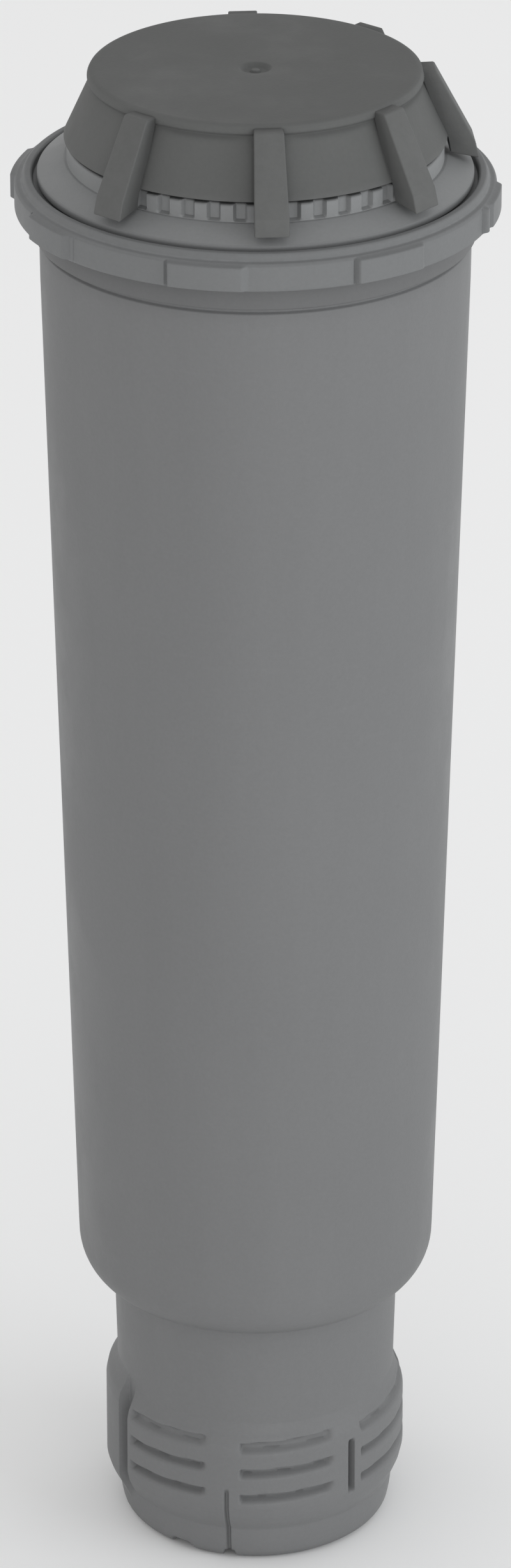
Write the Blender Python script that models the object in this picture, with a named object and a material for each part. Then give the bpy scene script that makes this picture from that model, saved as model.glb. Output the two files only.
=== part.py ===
"""Water-tank filter cartridge that stands neck down: a tapered housing full of filter media,
an interrupted thread on its neck, and a turning month ring under a ribbed end cap.

Lengths are written in millimetres and become metres where a vertex is made. Angles are in
degrees round +Z, with 0 at the front (-Y) and growing towards +X.
"""

from math import cos, pi, radians, sin

import bmesh
import bpy
from mathutils import Vector

MM = 0.001
GAP = 0.35  # clearance between pieces that touch

# Driving dimensions
TOTAL_HEIGHT = 184.0
RING_RADIUS = 26.95
GRIP_RADIUS = 27.5
COLLAR_RADIUS = 24.8
BODY_TOP_RADIUS = 24.2
BODY_FOOT_RADIUS = 21.1
NECK_RADIUS = 16.65
THREAD_RADIUS = 17.95
SMOOTH_RADIUS = 18.05
RIM_RADIUS = 15.1
WALL = 1.5

# Heights of the housing
RIM_TAPER_TOP = 3.4
NECK_TOP = 32.45
SHOULDER_TOP = 37.8
COLLAR_BASE = 164.9
COLLAR_TOP = 167.5
SPIGOT_TOP = 171.05

# Bores of the housing
NECK_BORE = 14.0
SEAT_HEIGHT = 32.0
CHAMBER_FOOT = 39.5
CHAMBER_FOOT_RADIUS = BODY_FOOT_RADIUS + 0.03 - WALL
CHAMBER_TOP_RADIUS = BODY_TOP_RADIUS - WALL
SPIGOT_RADIUS = 23.6

# Interrupted thread
WEB_ANGLE = -11.3  # two groups run into each other here, with only a slit between them
# The middle of the gap before each group, and where its grooves end. The last has no grooves.
THREAD_GROUPS = [(-62.7, -19.4), (WEB_ANGLE, 32.0), (40.1, 92.5), (97.0, 139.0),
                 (147.1, 189.1), (197.2, 239.1), (247.2, None)]
GROUP_GAP = 5.0  # from one block to the next
GROOVE_START = 5.6  # from the middle of the gap before a group
THREAD_FOOT = 4.4
THREAD_TOP = 19.0
THREAD_LEAD = 4.8
THREAD_PITCH = 3.45
GROOVES = 3
GROOVE_HEIGHT = 9.7  # lowest groove, at its start
GROOVE_RADIUS = 17.0

# Lower rim
WIDE_NOTCH_ANGLE = -34.0
WIDE_NOTCH_WIDTH = 2.8
NARROW_NOTCH_WIDTH = 1.4
NOTCH_DEPTH = 0.9
SLIT_WIDTH = 0.45
SLIT_TOP = 10.5

# Month ring
RING_BASE = 167.85
RING_BORE = 23.95
GRIPS = 8
GRIP_ANGLE = -21.25
GRIP_WIDTH = 19.5

# End cap
DISC_RADIUS = 18.05
CAP_FOOT = 176.15
CAP_FOOT_RADIUS = 21.4
RIBS = 6  # at eighths of a turn, with two eighths left bare
RIB_ANGLE = -40.8
RIB_TOP_RADIUS = 18.3
RIB_TOP_WIDTH = 3.1
RIB_TOE_RADIUS = 24.9
RIB_TOE_WIDTH = 3.9

# Strainer ring
STRAINER_BORE = 19.7
STRAINER_SHELF = 173.7
TOOTH_WALL_RADIUS = 21.05  # the low wall round the cap's plug
TOOTH_WALL_TOP = 175.75
TOOTH_GAPS = 11  # only the front of the wall is toothed
TOOTH_GAP_ANGLE = -36.5
TOOTH_GAP_STEP = 8.0
TOOTH_GAP_WIDTH = 1.3
TOOTH_DEPTH = 0.6

# Stack inside the housing, from the neck up
TUBE_RADIUS = 4.2
TUBE_BORE = 3.0
TUBE_HOLE = TUBE_RADIUS + GAP
SOCKET_RADIUS = 7.4
SOCKET_BORE = 5.2
SOCKET_BASE = 4.0
SOCKET_NECK = 27.5
SOCKET_FLANGE = 33.6
GRID_THICKNESS = 1.6
FLEECE_THICKNESS = 1.2
INLET_GRID_BASE = 35.6
RESIN_TOP = 118.0
CARBON_TOP = 156.5
LID_BASE = 163.6
SEAL_HEIGHT = 9.1
SEAL_THICKNESS = 1.8

FINE = 56
MEDIUM = 40
COARSE = 32


def at(radius, angle, height):
    """The point at this radius, angle from the front and height, in metres."""
    turn = radians(angle)
    return Vector((radius * sin(turn), -radius * cos(turn), height)) * MM


def chamber_radius(height):
    """The housing's inner radius at a height between the shoulder and the spigot."""
    share = (height - CHAMBER_FOOT) / (COLLAR_BASE - CHAMBER_FOOT)
    return CHAMBER_FOOT_RADIUS + share * (CHAMBER_TOP_RADIUS - CHAMBER_FOOT_RADIUS)


def plastic(name, colour, roughness, metallic=0.0):
    look = bpy.data.materials.new(name)
    look.use_nodes = True
    shader = look.node_tree.nodes["Principled BSDF"]
    shader.inputs["Base Color"].default_value = (*colour, 1.0)
    shader.inputs["Roughness"].default_value = roughness
    shader.inputs["Metallic"].default_value = metallic
    return look


def finished(name, bm, look):
    """Makes a scene object of a bmesh, with its faces outward and its round sides smooth."""
    bmesh.ops.remove_doubles(bm, verts=bm.verts, dist=1e-7)
    bmesh.ops.recalc_face_normals(bm, faces=bm.faces)
    mesh = bpy.data.meshes.new(name)
    bm.to_mesh(mesh)
    bm.free()
    mesh.shade_smooth()
    mesh.set_sharp_from_angle(angle=radians(35))
    obj = bpy.data.objects.new(name, mesh)
    bpy.context.scene.collection.objects.link(obj)
    if look:
        mesh.materials.append(look)
    return obj


def helper(name, bm):
    """A solid that is only joined to or cut from another one."""
    obj = finished(name, bm, None)
    obj.hide_render = True
    obj.display_type = "WIRE"
    return obj


def boolean(obj, other, operation):
    modifier = obj.modifiers.new(other.name, "BOOLEAN")
    modifier.operation = operation
    modifier.object = other


def outline_loop(bm, outline, angle=0.0):
    """A closed loop of edges through (radius, height) points, standing at an angle."""
    verts = [bm.verts.new(at(radius, angle, height)) for radius, height in outline]
    edges = [bm.edges.new((verts[i - 1], verts[i])) for i in range(len(verts))]
    return verts, edges


def turned(name, outline, look, steps):
    """A full turn of a closed outline about Z."""
    bm = bmesh.new()
    verts, edges = outline_loop(bm, outline)
    bmesh.ops.spin(bm, geom=verts + edges, cent=(0, 0, 0), axis=(0, 0, 1),
                   angle=2 * pi, steps=steps, use_merge=True)
    bmesh.ops.dissolve_degenerate(bm, edges=bm.edges, dist=1e-8)
    return finished(name, bm, look)


def swept(bm, outline, start, width, rise=0.0, steps=8):
    """Adds part of a turn of a closed outline, with both ends closed. It may climb as it turns."""
    verts, edges = outline_loop(bm, outline, start)
    bm.faces.new(verts)
    made = bmesh.ops.spin(bm, geom=verts + edges, cent=(0, 0, 0), axis=(0, 0, 1),
                          dvec=(0, 0, rise * MM / steps), angle=radians(width), steps=steps)
    ends = [item for item in made["geom_last"] if isinstance(item, bmesh.types.BMEdge)]
    bmesh.ops.edgeloop_fill(bm, edges=ends)


def ring_outline(inner, outer, base, top):
    return [(inner, base), (outer, base), (outer, top), (inner, top)]


def box(bm, angle, radial, across, heights):
    """Adds a box with its sides square to the radius at this angle."""
    made = bmesh.ops.create_cube(bm, size=1.0)
    middle = Vector((sum(radial) / 2, 0, sum(heights) / 2))
    size = Vector((radial[1] - radial[0], across, heights[1] - heights[0]))
    turn = radians(angle - 90)
    for vert in made["verts"]:
        x, y, z = Vector(a * b for a, b in zip(vert.co, size)) + middle
        vert.co = Vector((x * cos(turn) - y * sin(turn), x * sin(turn) + y * cos(turn), z)) * MM


def block_outline(radius, foot, top):
    """Gentle flanks below and above a straight face, with a back inside the neck's wall."""
    return [(16.0, foot), (16.5, foot), (radius - 0.1, foot + 3.0), (radius, foot + 3.6),
            (radius, top - 3.4), (radius - 0.6, top - 1.4), (NECK_RADIUS, top), (16.0, top)]


def thread_blocks():
    """Raised blocks with a gap between them. The two groups at the web share one."""
    ribbed = block_outline(THREAD_RADIUS, THREAD_FOOT, THREAD_TOP)
    smooth = block_outline(SMOOTH_RADIUS, THREAD_FOOT - 0.8, THREAD_TOP + 0.8)
    blocks = [row for row in THREAD_GROUPS if row[0] != WEB_ANGLE]
    ends = [gap for gap, _ in blocks[1:]] + [blocks[0][0] + 360]
    bm = bmesh.new()
    for (gap, groove_end), end in zip(blocks, ends):
        swept(bm, smooth if groove_end is None else ribbed, gap + GROUP_GAP / 2,
              end - gap - GROUP_GAP, steps=round((end - gap) / 6))
    return helper("thread_blocks", bm)


def thread_grooves():
    """Climbing grooves in each group but the smooth one. The highest only cuts the flank."""
    bm = bmesh.new()
    for gap, groove_end in THREAD_GROUPS:
        if groove_end is None:
            continue
        width = groove_end - gap - GROOVE_START
        for turn in range(GROOVES):
            middle = GROOVE_HEIGHT + turn * THREAD_PITCH
            outline = [(GROOVE_RADIUS, middle - 0.35), (18.6, middle - 1.3),
                       (18.6, middle + 1.0), (GROOVE_RADIUS, middle + 0.35)]
            swept(bm, outline, gap + GROOVE_START, width, THREAD_LEAD * width / 360, steps=8)
    return helper("thread_grooves", bm)


def rim_notches():
    """Two shallow notches in the lower rim."""
    bm = bmesh.new()
    box(bm, WIDE_NOTCH_ANGLE, (12.0, 19.0), WIDE_NOTCH_WIDTH, (-1.0, NOTCH_DEPTH))
    box(bm, WEB_ANGLE, (12.0, 19.0), NARROW_NOTCH_WIDTH, (-1.2, NOTCH_DEPTH + 0.05))
    return helper("rim_notches", bm)


def web_slit():
    """The slit in the web above the narrow notch."""
    bm = bmesh.new()
    box(bm, WEB_ANGLE, (16.0, 19.5), SLIT_WIDTH, (-1.4, SLIT_TOP))
    return helper("web_slit", bm)


def make_housing(look):
    outer = [(RIM_RADIUS, 0), (16.05, 0.7), (16.5, RIM_TAPER_TOP), (NECK_RADIUS, 20.0),
             (16.95, NECK_TOP)]
    for step in range(1, 6):
        turn = radians(90 - 18 * step)
        outer.append((16.95 + (BODY_FOOT_RADIUS - 16.95) * cos(turn),
                      SHOULDER_TOP - (SHOULDER_TOP - NECK_TOP) * sin(turn)))
    outer += [(BODY_TOP_RADIUS, 161.0), (BODY_TOP_RADIUS + 0.05, COLLAR_BASE - 0.15),
              (COLLAR_RADIUS, COLLAR_BASE), (COLLAR_RADIUS, COLLAR_TOP),
              (SPIGOT_RADIUS, COLLAR_TOP), (SPIGOT_RADIUS, SPIGOT_TOP)]
    inner = [(CHAMBER_TOP_RADIUS, SPIGOT_TOP), (CHAMBER_TOP_RADIUS, COLLAR_BASE),
             (CHAMBER_FOOT_RADIUS, CHAMBER_FOOT), (18.2, 35.4), (NECK_BORE, SEAT_HEIGHT),
             (NECK_BORE, 0)]
    housing = turned("housing_body", outer + inner, look, FINE)
    boolean(housing, thread_blocks(), "UNION")
    boolean(housing, thread_grooves(), "DIFFERENCE")
    boolean(housing, rim_notches(), "DIFFERENCE")
    boolean(housing, web_slit(), "DIFFERENCE")


def make_month_ring(look):
    outline = [(RING_BORE, RING_BASE), (26.7, RING_BASE), (RING_RADIUS, 168.1),
               (RING_RADIUS, 170.85), (26.7, 171.1), (26.15, 171.15), (25.95, 171.8),
               (25.75, 171.95), (25.15, 171.95), (24.95, 171.75), (24.85, 171.1),
               (RING_BORE, 171.1)]
    ring = turned("month_ring", outline, look, FINE)
    bm = bmesh.new()
    for grip in range(GRIPS):
        swept(bm, ring_outline(26.4, GRIP_RADIUS, 168.0, 170.95),
              GRIP_ANGLE + grip * 360 / GRIPS, GRIP_WIDTH, steps=3)
    boolean(ring, helper("ring_grips", bm), "UNION")


def make_strainer_ring(look):
    outline = [(22.35, 165.7), (22.35, 171.4), (24.4, 171.4), (24.4, 172.25),
               (21.35, STRAINER_SHELF), (TOOTH_WALL_RADIUS, STRAINER_SHELF),
               (TOOTH_WALL_RADIUS, TOOTH_WALL_TOP), (STRAINER_BORE, TOOTH_WALL_TOP),
               (STRAINER_BORE, 170.6), (20.7, 169.6), (20.7, 165.7)]
    ring = turned("strainer_ring", outline, look, FINE)
    bm = bmesh.new()
    for gap in range(TOOTH_GAPS):
        box(bm, TOOTH_GAP_ANGLE + gap * TOOTH_GAP_STEP, (TOOTH_WALL_RADIUS - TOOTH_DEPTH, 22.0),
            TOOTH_GAP_WIDTH, (STRAINER_SHELF + 0.1, TOOTH_WALL_TOP + 1))
    boolean(ring, helper("tooth_gaps", bm), "DIFFERENCE")


def make_end_cap(look):
    outline = [(0, TOTAL_HEIGHT - 0.5), (1.4, TOTAL_HEIGHT - 0.45), (1.8, TOTAL_HEIGHT),
               (DISC_RADIUS, TOTAL_HEIGHT), (18.5, 183.8), (18.7, 183.35), (18.7, 183.05),
               (18.4, 182.75), (CAP_FOOT_RADIUS, CAP_FOOT), (20.2, CAP_FOOT), (19.35, 178.0),
               (19.35, 170.8), (18.3, 170.8), (18.3, 182.2), (0, 182.2)]
    cap = turned("end_cap", outline, look, FINE)
    ribs = bmesh.new()
    for rib in range(RIBS):
        add_rib(ribs, RIB_ANGLE + rib * 45)
    boolean(cap, helper("cap_ribs", ribs), "UNION")


def add_rib(bm, angle):
    """A wedge on the cone that widens downward and reaches past it as a leg."""
    side = [(RIB_TOP_RADIUS, 183.0), (RIB_TOP_RADIUS, 183.65), (20.0, 183.65), (24.4, 175.4),
            (RIB_TOE_RADIUS, 173.35), (21.6, 174.05), (21.6, 175.9), (20.6, 176.6)]
    turn = radians(angle - 90)
    left = []
    right = []
    for radius, height in side:
        share = (radius - RIB_TOP_RADIUS) / (RIB_TOE_RADIUS - RIB_TOP_RADIUS)
        width = RIB_TOP_WIDTH + share * (RIB_TOE_WIDTH - RIB_TOP_WIDTH)
        across = Vector((sin(turn), -cos(turn), 0)) * width / 2 * MM
        left.append(bm.verts.new(at(radius, angle, height) + across))
        right.append(bm.verts.new(at(radius, angle, height) - across))
    bm.faces.new(left)
    bm.faces.new(reversed(right))
    for i in range(len(side)):
        bm.faces.new((left[i - 1], left[i], right[i], right[i - 1]))


def make_grid(name, radius, base, slots, reach, look):
    """A plate with a hole for the return tube and radial slots that let water through."""
    top = base + GRID_THICKNESS
    grid = turned(name, ring_outline(TUBE_HOLE, radius, base, top), look, MEDIUM)
    bm = bmesh.new()
    for slot in range(slots):
        box(bm, slot * 360 / slots, reach, 1.2, (base - 1, top + 1))
    boolean(grid, helper(name + "_slots", bm), "DIFFERENCE")


def make_fleece(name, base, look, inner=TUBE_HOLE, outer=None):
    outer = outer or chamber_radius(base) - GAP
    turned(name, ring_outline(inner, outer, base, base + FLEECE_THICKNESS), look, COARSE)


def make_bed(name, base, top, look):
    """Loose granules, held as one solid between two fleeces."""
    outline = [(TUBE_HOLE, base), (chamber_radius(base) - GAP, base),
               (chamber_radius(top) - GAP, top), (TUBE_HOLE, top)]
    turned(name, outline, look, COARSE)


def make_outlet_socket(look):
    groove_low = SEAL_HEIGHT - SEAL_THICKNESS / 2 - 0.3
    groove_high = SEAL_HEIGHT + SEAL_THICKNESS / 2 + 0.3
    outline = [(SOCKET_BORE + 0.5, SOCKET_BASE), (SOCKET_RADIUS, SOCKET_BASE),
               (SOCKET_RADIUS, SOCKET_FLANGE), (12.5, SOCKET_FLANGE),
               (12.5, INLET_GRID_BASE - GAP), (TUBE_HOLE, INLET_GRID_BASE - GAP),
               (TUBE_HOLE, SOCKET_NECK), (SOCKET_BORE, SOCKET_NECK - 0.6),
               (SOCKET_BORE, groove_high), (6.5, groove_high), (6.5, groove_low),
               (SOCKET_BORE, groove_low), (SOCKET_BORE, SOCKET_BASE + 0.5)]
    socket = turned("outlet_socket", outline, look, COARSE)
    bm = bmesh.new()
    for slot in range(6):
        box(bm, 30 + slot * 60, (8.4, 13.5), 2.6, (SOCKET_FLANGE - 1, INLET_GRID_BASE + 1))
    boolean(socket, helper("socket_slots", bm), "DIFFERENCE")


def make_outlet_seal(look):
    outline = []
    for step in range(10):
        turn = 2 * pi * step / 10
        outline.append((5.3 + SEAL_THICKNESS / 2 * cos(turn),
                        SEAL_HEIGHT + SEAL_THICKNESS / 2 * sin(turn)))
    turned("outlet_seal", outline, look, COARSE)


def make_return_tube(look):
    top = CARBON_TOP + 2 * GAP + FLEECE_THICKNESS + GRID_THICKNESS + 1.0
    turned("return_tube", ring_outline(TUBE_BORE, TUBE_RADIUS, SOCKET_NECK + GAP, top),
           look, 24)


def make_inner_lid(look):
    """Closes the space above the top grid, but for a small vent."""
    outline = [(0.8, LID_BASE), (22.35, LID_BASE), (22.35, LID_BASE + 1.7),
               (0.8, LID_BASE + 1.7)]
    turned("inner_lid", outline, look, COARSE)


def build():
    for obj in list(bpy.data.objects):
        bpy.data.objects.remove(obj, do_unlink=True)

    grey = plastic("housing_grey", (0.185, 0.187, 0.19), 0.48)
    dark = plastic("cap_grey", (0.105, 0.107, 0.105), 0.42)
    light = plastic("strainer_grey", (0.28, 0.285, 0.285), 0.5)
    white = plastic("inner_white", (0.72, 0.72, 0.7), 0.5)
    felt = plastic("fleece", (0.8, 0.8, 0.78), 0.95)
    beads = plastic("resin", (0.45, 0.26, 0.08), 0.35)
    char = plastic("carbon", (0.02, 0.02, 0.02), 0.7)
    seal = plastic("seal", (0.015, 0.015, 0.016), 0.6)

    make_housing(grey)
    make_month_ring(grey)
    make_strainer_ring(light)
    make_end_cap(dark)

    make_outlet_socket(white)
    make_outlet_seal(seal)
    make_return_tube(white)
    make_grid("inlet_grid", 17.9, INLET_GRID_BASE, 12, (7.0, 15.6), white)
    fleece_base = INLET_GRID_BASE + GRID_THICKNESS + GAP
    make_fleece("inlet_fleece", fleece_base, felt, outer=18.6)
    resin_base = fleece_base + FLEECE_THICKNESS + GAP
    make_bed("ion_exchange_bed", resin_base + 0.4, RESIN_TOP, beads)
    make_fleece("separator_fleece", RESIN_TOP + GAP, felt)
    make_bed("carbon_bed", RESIN_TOP + 2 * GAP + FLEECE_THICKNESS, CARBON_TOP, char)
    make_fleece("outlet_fleece", CARBON_TOP + GAP, felt)
    make_grid("top_grid", 22.1, CARBON_TOP + 2 * GAP + FLEECE_THICKNESS, 16, (7.0, 19.5), white)
    make_inner_lid(white)
    make_fleece("vent_fleece", LID_BASE + 1.7 + GAP, felt, inner=0.8, outer=20.3)


build()
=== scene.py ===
from math import atan2, degrees, floor, hypot, pi, radians, sin, cos

import bmesh
import bpy
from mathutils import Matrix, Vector


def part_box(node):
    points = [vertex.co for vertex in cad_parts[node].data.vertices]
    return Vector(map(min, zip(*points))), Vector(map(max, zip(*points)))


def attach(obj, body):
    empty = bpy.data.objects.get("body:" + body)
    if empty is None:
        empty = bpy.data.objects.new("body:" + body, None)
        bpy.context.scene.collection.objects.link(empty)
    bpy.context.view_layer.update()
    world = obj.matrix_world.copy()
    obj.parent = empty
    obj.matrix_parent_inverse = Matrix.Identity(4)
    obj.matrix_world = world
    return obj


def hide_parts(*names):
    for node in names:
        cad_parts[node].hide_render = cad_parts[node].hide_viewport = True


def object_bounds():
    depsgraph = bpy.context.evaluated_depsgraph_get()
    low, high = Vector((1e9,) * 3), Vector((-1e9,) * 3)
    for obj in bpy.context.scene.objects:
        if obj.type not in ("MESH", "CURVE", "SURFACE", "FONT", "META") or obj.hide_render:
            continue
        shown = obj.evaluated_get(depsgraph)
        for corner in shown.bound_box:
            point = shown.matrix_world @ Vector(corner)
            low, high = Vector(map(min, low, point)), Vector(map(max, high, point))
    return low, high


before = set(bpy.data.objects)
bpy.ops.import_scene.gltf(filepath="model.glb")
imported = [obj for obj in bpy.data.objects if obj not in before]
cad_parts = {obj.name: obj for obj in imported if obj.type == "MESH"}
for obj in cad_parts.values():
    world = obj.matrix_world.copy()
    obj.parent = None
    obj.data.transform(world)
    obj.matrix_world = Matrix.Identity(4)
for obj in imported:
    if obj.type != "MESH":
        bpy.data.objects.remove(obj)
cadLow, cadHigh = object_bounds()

print("frame loaded:", len(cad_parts), "solids")

mm = 0.001  # outlines are written in millimetres


def ringPoint(radius, angle, height):
    turn = radians(angle)  # 0 at the front, growing to the right
    return Vector((radius * sin(turn), -radius * cos(turn), height)) * mm


def softStep(low, high, value):
    share = min(max((value - low) / (high - low), 0.0), 1.0)
    return share * share * (3 - 2 * share)


def wrapAngle(angle):
    return (angle + 180) % 360 - 180


def readTable(table, value):
    # straight lines between (place, value) rows
    for (x0, y0), (x1, y1) in zip(table, table[1:]):
        if value <= x1:
            return y0 + (y1 - y0) * max(value - x0, 0) / (x1 - x0)
    return table[-1][1]


def drawOutline(outline, lift=0.0, segments=4):
    # a wire of (radius, height, rounding) corners in the XZ plane; one that starts on the axis stays open
    bm = bmesh.new()
    corners = [bm.verts.new((radius * mm, 0, (lift + height) * mm)) for radius, height, _ in outline]
    for a, b in zip(corners, corners[1:]):
        bm.edges.new((a, b))
    if outline[0][0] > 0:
        bm.edges.new((corners[-1], corners[0]))
    for size in sorted({row[2] for row in outline} - {0}):
        rounded = [corner for corner, row in zip(corners, outline) if row[2] == size]
        bmesh.ops.bevel(bm, geom=rounded, offset=size * mm, offset_type="OFFSET",
                        affect="VERTICES", segments=segments, profile=0.5, material=-1)
    return bm


def addRows(bm, low, high, spacing, beyond=0.0):
    # cuts the wire's edges between two heights into short ones
    for edge in list(bm.edges):
        heights = [vert.co.z / mm for vert in edge.verts]
        if min(heights) < low or max(heights) > high or edge.verts[0].co.x < beyond * mm:
            continue
        cuts = int(edge.calc_length() / mm / spacing)
        if cuts:
            bmesh.ops.subdivide_edges(bm, edges=[edge], cuts=cuts)


def spinOutline(bm, steps):
    bmesh.ops.spin(bm, geom=bm.verts[:] + bm.edges[:], cent=(0, 0, 0), axis=(0, 0, 1),
                   angle=2 * pi, steps=steps, use_merge=True)
    bmesh.ops.remove_doubles(bm, verts=bm.verts[:], dist=1e-7)
    bmesh.ops.recalc_face_normals(bm, faces=bm.faces[:])


def reshape(bm, first, pitch, knots, relief):
    # turns the spun columns so that they lie close together at edges, then moves the surface
    for vert in bm.verts:
        radius = hypot(vert.co.x, vert.co.y) / mm
        if radius < 0.01:
            continue
        turned = round(degrees(atan2(vert.co.y, vert.co.x)) % 360, 4) % 360
        group = floor(turned / pitch + 1e-4)
        share = turned / pitch - group
        angle = first + group * pitch + readTable(knots, share)
        vert.co = ringPoint(*relief(radius, angle, vert.co.z / mm))


def markEdges(bm):
    # how sharply each corner stands out or lies in, for rubbed edges and painted crease shade in the
    # finishes
    rub = bm.verts.layers.float.new("rub")
    nook = bm.verts.layers.float.new("nook")
    for edge in bm.edges:
        turn = edge.calc_face_angle_signed(0)
        for vert in edge.verts:
            if turn > 0.06:
                vert[rub] = min(vert[rub] + turn, 1.0)
            elif turn < -0.06:
                vert[nook] = min(vert[nook] - turn, 1.0)
    for _ in range(2):
        spread = {}
        for vert in bm.verts:
            around = [edge.other_vert(vert) for edge in vert.link_edges]
            spread[vert] = [max(vert[layer], sum(other[layer] for other in around) / len(around))
                            for layer in (rub, nook)]
        for vert, (out, inward) in spread.items():
            vert[rub] = out
            vert[nook] = inward


def placePiece(name, bm, finish, body, slotName, *nodes):
    markEdges(bm)
    mesh = bpy.data.meshes.new(name)
    bm.to_mesh(mesh)
    bm.free()
    mesh.materials.append(finish)
    mesh.shade_smooth()
    mesh.set_sharp_from_angle(angle=radians(48))
    piece = bpy.data.objects.new(name, mesh)
    bpy.context.scene.collection.objects.link(piece)
    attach(piece, body)
    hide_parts(*nodes)
    print("made", name, "with", len(mesh.polygons), "faces")
    return piece


def combine(bm, other, operation):
    # joins or cuts with an exact boolean, and gives the result back as a bmesh
    parts = []
    for label, source in (("kept", bm), ("tool", other)):
        mesh = bpy.data.meshes.new(label)
        source.to_mesh(mesh)
        source.free()
        part = bpy.data.objects.new(label, mesh)
        bpy.context.scene.collection.objects.link(part)
        parts.append(part)
    kept, tool = parts
    modifier = kept.modifiers.new("combine", "BOOLEAN")
    modifier.operation = operation
    modifier.object = tool
    modifier.solver = "EXACT"
    result = bmesh.new()
    result.from_object(kept, bpy.context.evaluated_depsgraph_get())
    for part in parts:
        mesh = part.data
        bpy.data.objects.remove(part)
        bpy.data.meshes.remove(mesh)
    bmesh.ops.remove_doubles(result, verts=result.verts[:], dist=1e-7)
    bmesh.ops.recalc_face_normals(result, faces=result.faces[:])
    return result


def newGroup(name, inputs, outputs):
    group = bpy.data.node_groups.new(name, "ShaderNodeTree")
    for label, kind, default in inputs:
        socket = group.interface.new_socket(name=label, in_out="INPUT", socket_type="NodeSocket" + kind)
        socket.default_value = default
    for label, kind in outputs:
        group.interface.new_socket(name=label, in_out="OUTPUT", socket_type="NodeSocket" + kind)
    return group, group.nodes.new("NodeGroupInput"), group.nodes.new("NodeGroupOutput")


def addNode(tree, kind, links=(), **settings):
    # links are (input, socket or value) pairs
    node = tree.nodes.new("ShaderNode" + kind)
    for key, value in settings.items():
        setattr(node, key, value)
    for key, value in links:
        if isinstance(value, bpy.types.NodeSocket):
            tree.links.new(value, node.inputs[key])
        else:
            node.inputs[key].default_value = value
    return node


def stretched(tree, scale):
    place = addNode(tree, "TexCoord").outputs["Object"]
    return addNode(tree, "Mapping", [("Vector", place), ("Scale", scale)]).outputs["Vector"]


def mapRange(tree, value, low, high, toLow=0.0, toHigh=1.0, smooth=True):
    node = addNode(tree, "MapRange", [("Value", value), ("From Min", low), ("From Max", high),
                                      ("To Min", toLow), ("To Max", toHigh)])
    node.interpolation_type = "SMOOTHSTEP" if smooth else "LINEAR"
    return node.outputs["Result"]


def mathNode(tree, operation, first, second=0.0):
    return addNode(tree, "Math", [(0, first), (1, second)], operation=operation).outputs[0]


def buildGrain():
    # spark-eroded mould texture with a faint orange peel under it
    group, given, out = newGroup("mouldGrain", [("Fine", "Float", 4200.0), ("Peel", "Float", 420.0),
                                                ("Peel Share", "Float", 0.5)], [("Height", "Float")])
    place = stretched(group, (1, 1, 1))
    fine = addNode(group, "TexNoise", [("Vector", place), ("Scale", given.outputs["Fine"]),
                                       ("Detail", 3.0), ("Roughness", 0.6)])
    peel = addNode(group, "TexNoise", [("Vector", place), ("Scale", given.outputs["Peel"]),
                                       ("Detail", 2.0), ("Roughness", 0.45)])
    peelHeight = mathNode(group, "MULTIPLY", peel.outputs["Fac"], given.outputs["Peel Share"])
    height = mathNode(group, "ADD", fine.outputs["Fac"], peelHeight)
    group.links.new(height, out.inputs["Height"])
    return group


def buildTone():
    # slow shifts of brightness from moulding: cloudy patches and long flow lines
    group, given, out = newGroup("mouldTone", [("Colour", "Color", (0.5, 0.5, 0.5, 1)),
                                               ("Clouds", "Float", 0.06), ("Flow", "Float", 0.04),
                                               ("Speckle", "Float", 0.05)], [("Colour", "Color")])
    clouds = addNode(group, "TexNoise", [("Vector", stretched(group, (1, 1, 0.6))), ("Scale", 55.0),
                                         ("Detail", 4.0), ("Roughness", 0.55)])
    flow = addNode(group, "TexNoise", [("Vector", stretched(group, (1, 1, 0.07))), ("Scale", 260.0),
                                       ("Detail", 3.0), ("Roughness", 0.5)])
    speckle = addNode(group, "TexNoise", [("Vector", stretched(group, (1, 1, 1))), ("Scale", 2300.0),
                                          ("Detail", 2.0)])
    total = None
    for noise, name in ((clouds, "Clouds"), (flow, "Flow"), (speckle, "Speckle")):
        centred = mathNode(group, "SUBTRACT", noise.outputs["Fac"], 0.5)
        part = mathNode(group, "MULTIPLY", centred, given.outputs[name])
        part = mathNode(group, "MULTIPLY", part, 2.0)
        total = part if total is None else mathNode(group, "ADD", total, part)
    gain = mathNode(group, "ADD", total, 1.0)
    scaled = addNode(group, "VectorMath", [(0, given.outputs["Colour"]), ("Scale", gain)], operation="SCALE")
    group.links.new(scaled.outputs[0], out.inputs["Colour"])
    return group


def buildWearAndShade():
    # rubbed edges, and nooks for painted shade in concave corners, read from the piece's own marks and
    # broken up by noise
    group, given, out = newGroup("edgeWearAndCreaseShade", [("Break", "Float", 900.0)],
                                 [("Rubbed", "Float"), ("Nook", "Float")])
    noise = addNode(group, "TexNoise", [("Vector", stretched(group, (1, 1, 1))),
                                        ("Scale", given.outputs["Break"]), ("Detail", 4.0)])
    breakUp = mapRange(group, noise.outputs["Fac"], 0.3, 0.65, 0.35, 1.0)
    for name, low, high, socket in (("rub", 0.12, 0.8, "Rubbed"), ("nook", 0.1, 0.9, "Nook")):
        mark = addNode(group, "Attribute", attribute_name=name).outputs["Fac"]
        amount = mapRange(group, mark, low, high)
        if socket == "Rubbed":
            amount = mathNode(group, "MULTIPLY", amount, breakUp)
        group.links.new(amount, out.inputs[socket])
    return group


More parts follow.
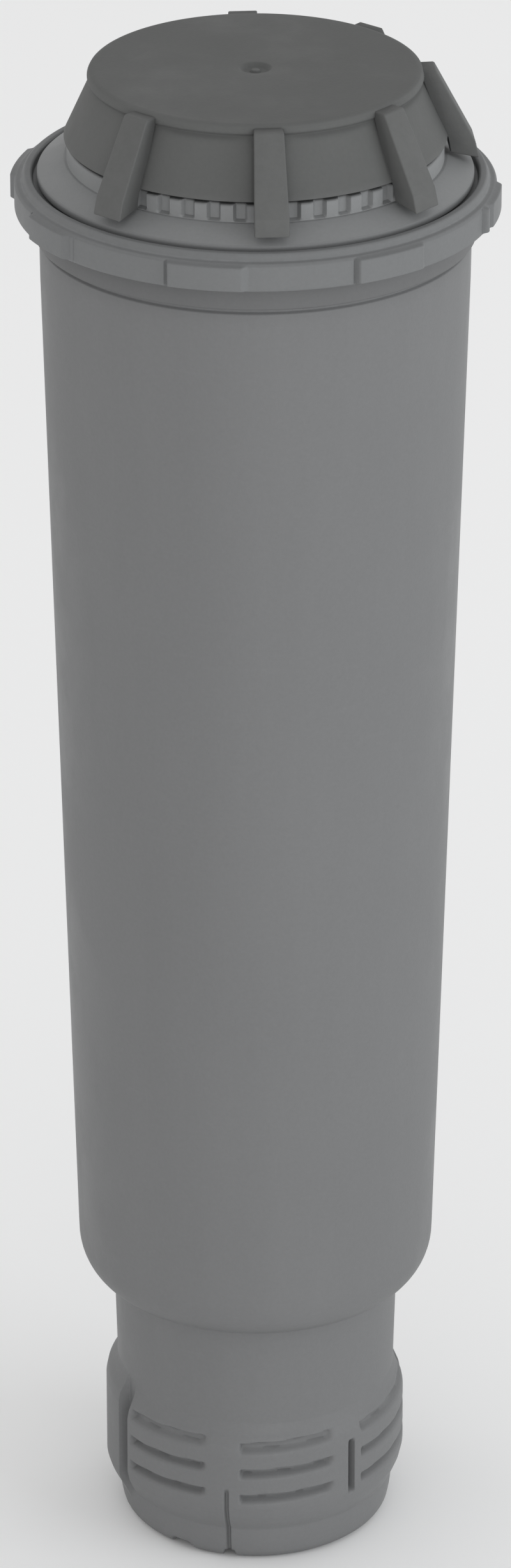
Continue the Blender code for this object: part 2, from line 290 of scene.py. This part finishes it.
def buildScuffs():
    # hair scratches in two directions, and dull smudges from handling
    group, given, out = newGroup("handlingMarks", [("Scratches", "Float", 1.0)],
                                 [("Scratch", "Float"), ("Smudge", "Float")])
    total = None
    for scale, size in (((1.0, 1.0, 0.05), 1500.0), ((0.06, 0.06, 1.0), 1250.0)):
        hair = addNode(group, "TexNoise", [("Vector", stretched(group, scale)), ("Scale", size),
                                           ("Detail", 1.0)])
        line = mapRange(group, hair.outputs["Fac"], 0.69, 0.74)
        total = line if total is None else mathNode(group, "MAXIMUM", total, line)
    patch = addNode(group, "TexNoise", [("Vector", stretched(group, (1, 1, 1))), ("Scale", 130.0),
                                        ("Detail", 2.0)])
    total = mathNode(group, "MULTIPLY", total, mapRange(group, patch.outputs["Fac"], 0.5, 0.62))
    total = mathNode(group, "MULTIPLY", total, given.outputs["Scratches"])
    smudge = addNode(group, "TexNoise", [("Vector", stretched(group, (1, 1, 0.7))), ("Scale", 75.0),
                                         ("Detail", 5.0), ("Roughness", 0.6)])
    group.links.new(total, out.inputs["Scratch"])
    group.links.new(mapRange(group, smudge.outputs["Fac"], 0.42, 0.66), out.inputs["Smudge"])
    return group


grainGroup = buildGrain()
toneGroup = buildTone()
wearAndShadeGroup = buildWearAndShade()
scuffGroup = buildScuffs()


def useGroup(tree, group, **values):
    node = tree.nodes.new("ShaderNodeGroup")
    node.node_tree = group
    for key, value in values.items():
        node.inputs[key.replace("_", " ")].default_value = value
    return node


def newFinish(name):
    finish = bpy.data.materials.new(name)
    finish.use_nodes = True
    return finish, finish.node_tree, finish.node_tree.nodes["Principled BSDF"]


def mixColour(tree, share, first, second):
    node = addNode(tree, "Mix", data_type="RGBA")
    for socket, value in zip((node.inputs[0], node.inputs[6], node.inputs[7]), (share, first, second)):
        if isinstance(value, bpy.types.NodeSocket):
            tree.links.new(value, socket)
        else:
            socket.default_value = value
    return node.outputs[2]


def makePlastic(name, look):
    finish, tree, shader = newFinish(name)
    tone = useGroup(tree, toneGroup, Colour=(*look["colour"], 1), Clouds=look["clouds"],
                    Flow=look["flow"], Speckle=look["speckle"])
    wearAndShade = useGroup(tree, wearAndShadeGroup)
    marks = useGroup(tree, scuffGroup, Scratches=look["scratches"])
    colour = tone.outputs["Colour"]
    rubbed = mathNode(tree, "MULTIPLY", wearAndShade.outputs["Rubbed"], look["rubbing"])
    colour = mixColour(tree, rubbed, colour, (*look["rubbedColour"], 1))
    # painted shade: concave corners (nooks) are darkened toward a dark colour
    shaded = mathNode(tree, "MULTIPLY", wearAndShade.outputs["Nook"], look["creaseShade"])
    colour = mixColour(tree, shaded, colour, (*look["creaseShadeColour"], 1))
    scratched = mathNode(tree, "MULTIPLY", marks.outputs["Scratch"], 0.35)
    colour = mixColour(tree, scratched, colour, (*look["rubbedColour"], 1))
    tree.links.new(colour, shader.inputs["Base Color"])
    low, high = look["roughness"]
    gloss = mapRange(tree, marks.outputs["Smudge"], 0.0, 1.0, high, low, smooth=False)
    gloss = mathNode(tree, "SUBTRACT", gloss, mathNode(tree, "MULTIPLY", rubbed, 0.25))
    tree.links.new(gloss, shader.inputs["Roughness"])
    grain = useGroup(tree, grainGroup, Fine=look["grainScale"], Peel=look["peelScale"],
                     Peel_Share=look["peelShare"])
    height = mathNode(tree, "SUBTRACT", grain.outputs["Height"],
                      mathNode(tree, "MULTIPLY", marks.outputs["Scratch"], 0.8))
    bump = addNode(tree, "Bump", [("Height", height), ("Strength", 1.0),
                                  ("Distance", look["grainDepth"] * mm)])
    tree.links.new(bump.outputs["Normal"], shader.inputs["Normal"])
    shader.inputs["Specular IOR Level"].default_value = look["shine"]
    return finish


housingLook = {
    "colour": (0.165, 0.167, 0.169),
    "clouds": 0.035,
    "flow": 0.03,
    "speckle": 0.05,
    "roughness": (0.42, 0.53),
    "grainScale": 4200.0,
    "grainDepth": 0.018,
    "peelScale": 380.0,
    "peelShare": 0.9,
    "rubbing": 0.15,
    "rubbedColour": (0.30, 0.305, 0.31),
    # the next two entries paint shade into concave corners
    "creaseShade": 0.45,
    "creaseShadeColour": (0.06, 0.06, 0.06),
    "scratches": 0.06,
    "shine": 0.2,
}
# each look below keeps or sets its own painted crease shade amount and colour
ringLook = dict(housingLook, colour=(0.162, 0.166, 0.168), flow=0.015, rubbing=0.2, scratches=0.08)
strainerLook = dict(housingLook, colour=(0.225, 0.230, 0.232), rubbedColour=(0.36, 0.36, 0.36),
                    clouds=0.05, creaseShade=0.55, creaseShadeColour=(0.08, 0.08, 0.08))
capLook = dict(housingLook, colour=(0.105, 0.107, 0.105), rubbedColour=(0.15, 0.15, 0.15),
               roughness=(0.55, 0.68), grainDepth=0.022, clouds=0.06, creaseShade=0.4,
               creaseShadeColour=(0.03, 0.03, 0.03), scratches=0.08)
whiteLook = dict(housingLook, colour=(0.70, 0.70, 0.68), rubbedColour=(0.8, 0.8, 0.79), clouds=0.03,
                 creaseShadeColour=(0.4, 0.39, 0.37), speckle=0.02, roughness=(0.36, 0.48))
sealLook = dict(housingLook, colour=(0.015, 0.015, 0.016), rubbedColour=(0.05, 0.05, 0.05),
                creaseShadeColour=(0.01, 0.01, 0.01), roughness=(0.5, 0.65), grainDepth=0.01, clouds=0.2)

housingGrey = makePlastic("housingGrey", housingLook)
ringGrey = makePlastic("ringGrey", ringLook)
strainerGrey = makePlastic("strainerGrey", strainerLook)
capGrey = makePlastic("capGrey", capLook)
innerWhite = makePlastic("innerWhite", whiteLook)
sealRubber = makePlastic("sealRubber", sealLook)


def makeFleeceFinish():
    # pressed fibres lying in every direction, with thick and thin places
    finish, tree, shader = newFinish("pressedFleece")
    fibres = None
    for scale in ((1, 0.12, 1), (0.12, 1, 1), (0.6, 0.6, 0.3)):
        noise = addNode(tree, "TexNoise", [("Vector", stretched(tree, scale)), ("Scale", 5200.0),
                                           ("Detail", 2.0), ("Distortion", 0.6)])
        line = mapRange(tree, noise.outputs["Fac"], 0.42, 0.62)
        fibres = line if fibres is None else mathNode(tree, "MAXIMUM", fibres, line)
    patches = addNode(tree, "TexNoise", [("Vector", stretched(tree, (1, 1, 1))), ("Scale", 300.0),
                                         ("Detail", 3.0)])
    shade = mathNode(tree, "MULTIPLY", fibres, mapRange(tree, patches.outputs["Fac"], 0.3, 0.7, 0.6, 1.0))
    colour = mixColour(tree, shade, (0.52, 0.51, 0.48, 1), (0.82, 0.82, 0.79, 1))
    tree.links.new(colour, shader.inputs["Base Color"])
    bump = addNode(tree, "Bump", [("Height", fibres), ("Distance", 0.12 * mm)])
    tree.links.new(bump.outputs["Normal"], shader.inputs["Normal"])
    shader.inputs["Roughness"].default_value = 0.95
    shader.inputs["Sheen Weight"].default_value = 0.25
    return finish


def makeGranules(name, look):
    # packed beads or grains, each with its own tone, and painted shade in the crevices between them
    finish, tree, shader = newFinish(name)
    place = stretched(tree, (1, 1, 1))
    cells = addNode(tree, "TexVoronoi", [("Vector", place), ("Scale", look["scale"]),
                                         ("Randomness", look["disorder"])])
    shade = addNode(tree, "SeparateColor", [("Color", cells.outputs["Color"])]).outputs["Red"]
    colour = mixColour(tree, shade, (*look["dark"], 1), (*look["light"], 1))
    # painted shade: colour darkens toward each bead's edge, where the gaps between beads lie
    creviceShade = mapRange(tree, cells.outputs["Distance"], 0.35, 0.75)
    colour = mixColour(tree, creviceShade, colour, (*look["creviceShade"], 1))
    tree.links.new(colour, shader.inputs["Base Color"])
    tree.links.new(mapRange(tree, shade, 0.0, 1.0, *look["roughness"], smooth=False),
                   shader.inputs["Roughness"])
    dome = mathNode(tree, "SUBTRACT", 1.0, mathNode(tree, "POWER", cells.outputs["Distance"], 2.0))
    bump = addNode(tree, "Bump", [("Height", dome), ("Distance", look["depth"] * mm)])
    tree.links.new(bump.outputs["Normal"], shader.inputs["Normal"])
    return finish


pressedFleece = makeFleeceFinish()
amberBeads = makeGranules("amberBeads", {
    "scale": 1500.0,
    "disorder": 0.7,
    "dark": (0.26, 0.13, 0.03),
    "light": (0.62, 0.40, 0.15),
    # painted shade colour for the gaps between beads
    "creviceShade": (0.06, 0.03, 0.01),
    "roughness": (0.2, 0.45),
    "depth": 0.35,
})
blackGranules = makeGranules("blackGranules", {
    "scale": 1100.0,
    "disorder": 1.0,
    "dark": (0.008, 0.008, 0.008),
    "light": (0.035, 0.035, 0.036),
    "creviceShade": (0.002, 0.002, 0.002),
    # painted shade colour for the gaps between granules
    "roughness": (0.45, 0.8),
    "depth": 0.45,
})
print("finishes made")


housing = {
    "columns": 504,
    "outsideFrom": 15.6,  # the neck's outside begins past this radius
    "rimRadius": 15.1,
    "neckRadius": 16.65,
    "shoulderFoot": 32.45,
    "shoulderTop": 37.8,
    "bodyFootRadius": 21.1,
    "bodyTopRadius": 24.2,
    "collarBase": 164.9,
    "collarTop": 167.5,
}
thread = {
    "gaps": [-62.7, -11.3, 40.1, 97.0, 147.1, 197.2, 247.2, 297.3],  # between the groups
    "grooveEnds": [-19.4, 32.0, 92.5, 139.0, 189.1, 239.1, None],  # the last group is smooth
    "web": -11.3,  # here two groups run on into each other
    "faintGap": 40.1,  # open only half way up
    "ribbed": [(4.6, 0.0), (5.8, 0.64), (6.9, 1.08), (8.2, 1.35), (15.5, 1.25), (16.6, 1.03),
               (17.6, 0.63), (18.2, 0.34), (19.3, 0.0)],
    "smooth": [(3.2, 0.0), (3.6, 0.1), (4.5, 0.5), (6.0, 1.25), (6.9, 1.52), (17.1, 1.43),
               (18.2, 1.19), (19.3, 0.56), (20.3, 0.08), (20.6, 0.0)],
    "grooveFoot": 9.7,
    "pitch": 3.45,
    "lead": 4.8,
    "foot": 3.0,
    "top": 20.7,
    "grooveStart": 5.6,
    "grooveDepths": [1.1, 1.1, 0.95],
}
rim = {
    "wideNotch": -34.0,
    "wideNotchWidth": 2.8,
    "narrowNotchWidth": 1.4,
    "notchDepth": 0.9,
    "notchReach": 1.6,
    "slitWidth": 0.45,
    "slitTop": 10.6,
    "slitDepth": 0.5,
}


def housingOutline():
    # from the lower rim up the outside, and down again inside
    foot = housing["bodyFootRadius"]
    top = housing["bodyTopRadius"]
    collar = cadHousingHigh.x / mm
    spigotTop = cadHousingHigh.z / mm
    outline = [(housing["rimRadius"], 0, 0.12), (16.05, 0.7, 0.5), (16.5, 3.0, 1.0),
               (housing["neckRadius"], 20.8, 0), (16.95, housing["shoulderFoot"], 0.45)]
    rise = housing["shoulderTop"] - housing["shoulderFoot"]
    for step in range(1, 15):
        turn = radians(90 - 6 * step)
        outline.append((16.95 + (foot - 16.95) * cos(turn),
                        housing["shoulderTop"] - rise * sin(turn), 0))
    outline += [(foot + 0.02, housing["shoulderTop"] + 0.6, 0), (top, 161.0, 1.5),
                (top, housing["collarBase"] - 0.7, 0.1), (top - 0.3, housing["collarBase"] - 0.5, 0.08),
                (top - 0.3, housing["collarBase"], 0.08),
                (collar, housing["collarBase"], 0.22), (collar, housing["collarTop"], 0.2),
                (23.6, housing["collarTop"], 0.1), (23.6, spigotTop, 0.15),
                (22.7, spigotTop, 0.15), (22.7, housing["collarBase"], 0), (19.63, 39.5, 0.5),
                (18.2, 35.4, 0.5), (14.0, 32.0, 0.5), (14.0, 0, 0.15)]
    return outline


def grooveCut(along, width, height):
    # how deep the climbing grooves lie here, with a sharp upper lip and run-outs at both ends
    start = thread["grooveStart"]
    window = softStep(start - 0.7, start + 0.5, along) * (1 - softStep(width - 3.5, width + 0.4, along))
    deepest = 0.0
    for turn, depth in enumerate(thread["grooveDepths"]):
        middle = thread["grooveFoot"] + turn * thread["pitch"] + thread["lead"] * (along - start) / 360
        away = height - middle
        deepest = max(deepest, depth * softStep(-1.0, -0.1, away) * (1 - softStep(0.15, 0.5, away)))
    return window * deepest


def threadRelief(angle, height):
    # how far the thread stands out from the neck
    gaps = thread["gaps"]
    turned = (angle - gaps[0] + 1e-6) % 360 + gaps[0]
    group = max(index for index, gap in enumerate(gaps[:-1]) if gap <= turned)
    along = turned - gaps[group]
    left = gaps[group + 1] - turned
    block = 1.0
    for gap, distance in ((gaps[group], along), (gaps[group + 1], left)):
        if gap == thread["web"]:
            continue
        shut = softStep(2.1, 3.1, distance)
        if gap == thread["faintGap"]:
            opened = softStep(7.8, 8.8, height) * (1 - softStep(14.6, 15.6, height))
            shut = 1 - opened * (1 - softStep(0.7, 1.7, distance))
        block *= shut
    end = thread["grooveEnds"][group]
    if end is None:
        return block * readTable(thread["smooth"], height)
    proud = readTable(thread["ribbed"], height)
    cut = grooveCut(along, end - gaps[group], height)
    return block * (proud - min(cut, max(proud - 0.28, 0)))


def housingRelief(radius, angle, height):
    # thread, slit and rim notches on the outside of the neck
    if radius > housing["outsideFrom"] and thread["foot"] < height < thread["top"]:
        radius += threadRelief(angle, height)
    across = radians(wrapAngle(angle - thread["web"])) * radius
    if radius > housing["outsideFrom"] and height < rim["slitTop"] + 0.5:
        half = rim["slitWidth"] / 2
        slit = 1 - softStep(half - 0.12, half + 0.12, abs(across))
        below = 1 - softStep(rim["slitTop"] - 0.6, rim["slitTop"] + 0.4, height)
        radius -= rim["slitDepth"] * slit * below
    if height < rim["notchReach"]:
        half = rim["narrowNotchWidth"] / 2
        narrow = 1 - softStep(half - 0.2, half + 0.2, abs(across))
        wideAcross = radians(wrapAngle(angle - rim["wideNotch"])) * radius
        half = rim["wideNotchWidth"] / 2
        wide = 1 - softStep(half - 0.35, half + 0.35, abs(wideAcross))
        height += rim["notchDepth"] * max(narrow, wide) * (1 - height / rim["notchReach"])
    return radius, angle, height


def columnPlaces():
    # columns of vertices crowd at the ends of each thread group
    gaps = thread["gaps"]
    groups = len(gaps) - 1
    rows = []
    for group, (start, end) in enumerate(zip(gaps, gaps[1:])):
        width = end - start
        for share, along in ((0, 0), (7, 1.9), (13, 3.4), (16, 4.7), (20, 6.3), (50, width - 11.8),
                             (57, width - 7.4), (60, width - 4.2), (66, width - 1.9)):
            rows.append(((group + share / 72) / groups, start - gaps[0] + along))
    return rows + [(1, 360.0)]


_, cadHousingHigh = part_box("housing_body")
housingMesh = drawOutline(housingOutline())
addRows(housingMesh, 2.9, 20.85, 0.21, beyond=15.5)
addRows(housingMesh, 38, 162, 12.0, beyond=20.5)
spinOutline(housingMesh, housing["columns"])
reshape(housingMesh, thread["gaps"][0], 360.0, columnPlaces(), housingRelief)
placePiece("housingShell", housingMesh, housingGrey, "root", "housing_grey", "housing_body")


ringDetails = {
    "columns": 448,
    "pads": 8,
    "firstPad": -21.25,
    "padWidth": 19.5,
    "proud": 0.55,
    "lineDepth": 0.22,
    "notchAngles": (-48.5, 72.0),
    "notchDepth": 0.45,
}
ringLow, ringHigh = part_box("month_ring")
ringRadius = ringHigh.x / mm - ringDetails["proud"]
ringBase = ringLow.z / mm
ringOutline = [(ringRadius - 3.0, 0, 0.1), (ringRadius - 0.1, 0, 0.18), (ringRadius, 0.25, 0.1),
               (ringRadius, 3.0, 0.12), (ringRadius - 0.25, 3.25, 0.12), (ringRadius - 0.8, 3.3, 0.15),
               (ringRadius - 1.0, 3.95, 0.1), (ringRadius - 1.2, 4.1, 0.1),
               (ringRadius - 1.8, 4.1, 0.1), (ringRadius - 2.0, 3.9, 0.1),
               (ringRadius - 2.1, 3.25, 0.1), (ringRadius - 3.0, 3.25, 0.1)]


def ringRelief(radius, angle, height):
    # grip pads with a sharp left edge, thin lines beside them
    pitch = 360 / ringDetails["pads"]
    along = (angle - ringDetails["firstPad"]) % pitch
    level = height - ringBase
    if radius > ringRadius - 0.4 and level < 3.3:
        width = ringDetails["padWidth"]
        pad = softStep(0.1, 1.0, along) * (1 - softStep(width - 1.6, width + 0.2, along))
        face = softStep(0.05, 0.3, level) * (1 - softStep(2.95, 3.2, level))
        line = 1 - softStep(0.12, 0.5, abs(along - pitch if along > pitch / 2 else along))
        notch = max(1 - softStep(0.7, 1.5, abs(wrapAngle(angle - place)))
                    for place in ringDetails["notchAngles"])
        radius += face * (ringDetails["proud"] * pad - ringDetails["lineDepth"] * line
                          - ringDetails["notchDepth"] * notch)
    return radius, angle, height


ringMesh = drawOutline(ringOutline, ringBase)
addRows(ringMesh, ringBase, ringBase + 3.3, 0.5, beyond=ringRadius - 0.3)
spinOutline(ringMesh, ringDetails["columns"])
padKnots = [(0, 0), (6 / 56, 1.2), (10 / 56, 3.0), (26 / 56, 17.0), (36 / 56, 20.2),
            (50 / 56, 43.6), (1, 45.0)]
reshape(ringMesh, ringDetails["firstPad"], 45.0, padKnots, ringRelief)
placePiece("monthRing", ringMesh, ringGrey, "ring", "housing_grey", "month_ring")


strainer = {
    "columns": 720,
    "wallRadius": 21.05,
    "wallTop": 10.05,
    "shelfTop": 8.0,
    "pitch": 8.0,
    "firstGap": -36.5,
    "lastGap": 43.5,
    "gapHalfWidth": 1.75,  # in degrees
    "gapDepth": 0.6,
}
strainerLow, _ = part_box("strainer_ring")
strainerBase = strainerLow.z / mm
strainerOutline = [(22.35, 0, 0.1), (22.35, 5.7, 0), (24.4, 5.7, 0.12), (24.4, 6.55, 0.2),
                   (21.35, strainer["shelfTop"], 0.12), (strainer["wallRadius"], strainer["shelfTop"], 0.05),
                   (strainer["wallRadius"], strainer["wallTop"], 0.2), (19.7, strainer["wallTop"], 0.1),
                   (19.7, 4.9, 0), (20.7, 3.9, 0), (20.7, 0, 0.1)]


def strainerRelief(radius, angle, height):
    # shallow gaps between the teeth, on the front of the wall only
    level = height - strainerBase
    turned = wrapAngle(angle)
    half = strainer["gapHalfWidth"]
    if radius > 20.6 and level > strainer["shelfTop"] + 0.15 \
            and strainer["firstGap"] - 3 < turned < strainer["lastGap"] + 3:
        offset = abs((turned - strainer["firstGap"] + 4) % strainer["pitch"] - 4)
        radius -= strainer["gapDepth"] * (1 - softStep(half - 0.4, half + 0.4, offset))
    return radius, angle, height


strainerMesh = drawOutline(strainerOutline, strainerBase)
addRows(strainerMesh, strainerBase + strainer["shelfTop"] + 0.01,
        strainerBase + strainer["wallTop"] - 0.15, 0.2, beyond=strainer["wallRadius"] - 0.05)
spinOutline(strainerMesh, strainer["columns"])
gapKnots = [(0, 0), (3 / 16, 1.35), (6 / 16, 2.15), (10 / 16, 5.85), (13 / 16, 6.65), (1, 8.0)]
reshape(strainerMesh, strainer["firstGap"], strainer["pitch"], gapKnots, strainerRelief)
placePiece("strainerRing", strainerMesh, strainerGrey, "root", "strainer_grey", "strainer_ring")


cap = {
    "columns": 256,
    "ribs": 6,
    "firstRib": -40.8,
    "ribStep": 45.0,  # two steps at the left stay bare
    "ribTopRadius": 18.3,
    "ribReach": 6.6,
    "ribTopWidth": 3.1,
    "ribToeWidth": 3.9,
    "ribRounding": 0.18,
    "panelHollow": 0.35,
}
capLow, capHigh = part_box("end_cap")
capBase = capLow.z / mm
capTop = capHigh.z / mm - capBase
capOutline = [(0, capTop - 0.22, 0), (0.45, capTop - 0.22, 0.1), (0.62, capTop - 0.5, 0.08),
              (1.35, capTop - 0.46, 0.15), (1.85, capTop, 0.12), (18.05, capTop, 0.25),
              (18.5, capTop - 0.2, 0.12), (18.7, capTop - 0.6, 0.12), (18.7, capTop - 0.95, 0.1),
              (18.4, capTop - 1.25, 0.15), (21.4, 5.35, 0.15), (20.2, 5.35, 0.12), (19.35, 7.2, 0.2),
              (19.35, 0, 0.1), (18.3, 0, 0.1), (18.3, capTop - 1.8, 0.3), (0, capTop - 1.8, 0)]


def capRelief(radius, angle, height):
    # the cone's panels are a little hollow between the ribs, and plain where there are none
    level = height - capBase
    bare = -175 < wrapAngle(angle) < cap["firstRib"]
    if 5.6 < level < capTop - 1.2 and radius > 18.45 and not bare:
        along = (angle - cap["firstRib"]) % cap["ribStep"] / cap["ribStep"]
        hollow = sin(pi * along) ** 2 * sin(pi * min(max((level - 5.6) / (capTop - 6.9), 0), 1)) ** 0.7
        radius -= cap["panelHollow"] * hollow
    return radius, angle, height


def addRib(bm, angle):
    # a wedge on the cone that widens downward and reaches past it as a leg
    side = [(18.3, 12.2), (18.3, 12.85), (20.0, 12.85), (24.4, 4.6), (24.9, 2.55), (21.6, 3.25),
            (21.6, 5.1), (20.6, 5.8)]
    turn = radians(angle)
    across = Vector((cos(turn), sin(turn), 0)) * mm / 2
    sides = [[], []]
    for radius, level in side:
        share = (radius - cap["ribTopRadius"]) / cap["ribReach"]
        width = cap["ribTopWidth"] + (cap["ribToeWidth"] - cap["ribTopWidth"]) * share
        middle = ringPoint(radius, angle, capBase + level)
        sides[0].append(bm.verts.new(middle - across * width))
        sides[1].append(bm.verts.new(middle + across * width))
    first, second = sides
    bm.faces.new(first)
    bm.faces.new(reversed(second))
    for index in range(len(side)):
        bm.faces.new((first[index - 1], first[index], second[index], second[index - 1]))
    edges = {edge for vert in first + second for edge in vert.link_edges}
    bmesh.ops.bevel(bm, geom=list(edges), offset=cap["ribRounding"] * mm, offset_type="OFFSET",
                    affect="EDGES", segments=4, profile=0.5, material=-1)


capMesh = drawOutline(capOutline, capBase)
addRows(capMesh, capBase + 5.4, capBase + capTop - 1.2, 0.6, beyond=18.4)
spinOutline(capMesh, cap["columns"])
reshape(capMesh, 90.0, 360.0, [(0, 0), (1, 360.0)], capRelief)
ribMesh = bmesh.new()
for index in range(cap["ribs"]):
    addRib(ribMesh, cap["firstRib"] + index * cap["ribStep"])
bmesh.ops.recalc_face_normals(ribMesh, faces=ribMesh.faces[:])
capMesh = combine(capMesh, ribMesh, "UNION")
placePiece("endCap", capMesh, capGrey, "root", "cap_grey", "end_cap")


nodeFinishes = {
    "outlet_socket": innerWhite,
    "outlet_seal": sealRubber,
    "return_tube": innerWhite,
    "inlet_grid": innerWhite,
    "top_grid": innerWhite,
    "inner_lid": innerWhite,
    "inlet_fleece": pressedFleece,
    "separator_fleece": pressedFleece,
    "outlet_fleece": pressedFleece,
    "vent_fleece": pressedFleece,
    "ion_exchange_bed": amberBeads,
    "carbon_bed": blackGranules,
}
for nodeName, finish in nodeFinishes.items():
    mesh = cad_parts[nodeName].data
    mesh.materials.clear()
    mesh.materials.append(finish)
print("inner pieces finished")


studio = {
    "floorShade": 0.93,
    "skyStrength": 0.77,
    "keyPower": 3.6,
    "leftPower": 0.75,
    "rightRimPower": 1.2,
    "frontPower": 3.0,
}


def makeFloor():
    bm = bmesh.new()
    bmesh.ops.create_grid(bm, x_segments=1, y_segments=1, size=3.0)
    mesh = bpy.data.meshes.new("floor")
    bm.to_mesh(mesh)
    bm.free()
    finish, tree, shader = newFinish("paleFloor")
    shader.inputs["Base Color"].default_value = (studio["floorShade"],) * 3 + (1,)
    shader.inputs["Roughness"].default_value = 0.9
    shader.inputs["Specular IOR Level"].default_value = 0.1
    mesh.materials.append(finish)
    floorPiece = bpy.data.objects.new("floor", mesh)
    bpy.context.scene.collection.objects.link(floorPiece)


def addSoftbox(name, place, size, power, tint):
    lamp = bpy.data.lights.new(name, "AREA")
    lamp.shape = "RECTANGLE"
    lamp.size, lamp.size_y = size
    lamp.energy = power
    lamp.color = tint
    holder = bpy.data.objects.new(name, lamp)
    holder.location = place
    aim = Vector((0, 0, cadHigh[2] / 2)) - Vector(place)
    holder.rotation_euler = aim.to_track_quat("-Z", "Y").to_euler()
    bpy.context.scene.collection.objects.link(holder)


makeFloor()
addSoftbox("keySoftbox", (0.95, -0.45, 0.35), (0.7, 0.9), studio["keyPower"], (0.93, 0.97, 1.0))
addSoftbox("leftSoftbox", (-0.95, 0.35, 0.35), (0.5, 0.9), studio["leftPower"], (1.0, 0.99, 0.96))
addSoftbox("frontSoftbox", (0.1, -1.1, 0.1), (0.9, 0.3), studio["frontPower"], (1.0, 1.0, 1.0))
addSoftbox("rightRimSoftbox", (0.8, 0.75, 0.35), (0.5, 0.9), studio["rightRimPower"], (0.97, 0.99, 1.0))

world = bpy.data.worlds.new("whiteRoom")
world.use_nodes = True
sky = world.node_tree.nodes["Background"]
sky.inputs["Color"].default_value = (1.0, 1.0, 1.0, 1)
sky.inputs["Strength"].default_value = studio["skyStrength"]
bpy.context.scene.world = world
bpy.context.scene.view_settings.view_transform = "Standard"

view = {
    "place": (0, -0.7279, 0.446),
    "tilt": 64.31,
    "focalLength": 159.37,
    "sensorWidth": 36.0,
}
lens = bpy.data.cameras.new("camera")
lens.sensor_width = view["sensorWidth"]
lens.lens = view["focalLength"]
lens.clip_start = 0.01
camera = bpy.data.objects.new("camera", lens)
camera.location = view["place"]
camera.rotation_euler = (radians(view["tilt"]), 0, 0)
bpy.context.scene.collection.objects.link(camera)
bpy.context.scene.camera = camera
print("stage ready")
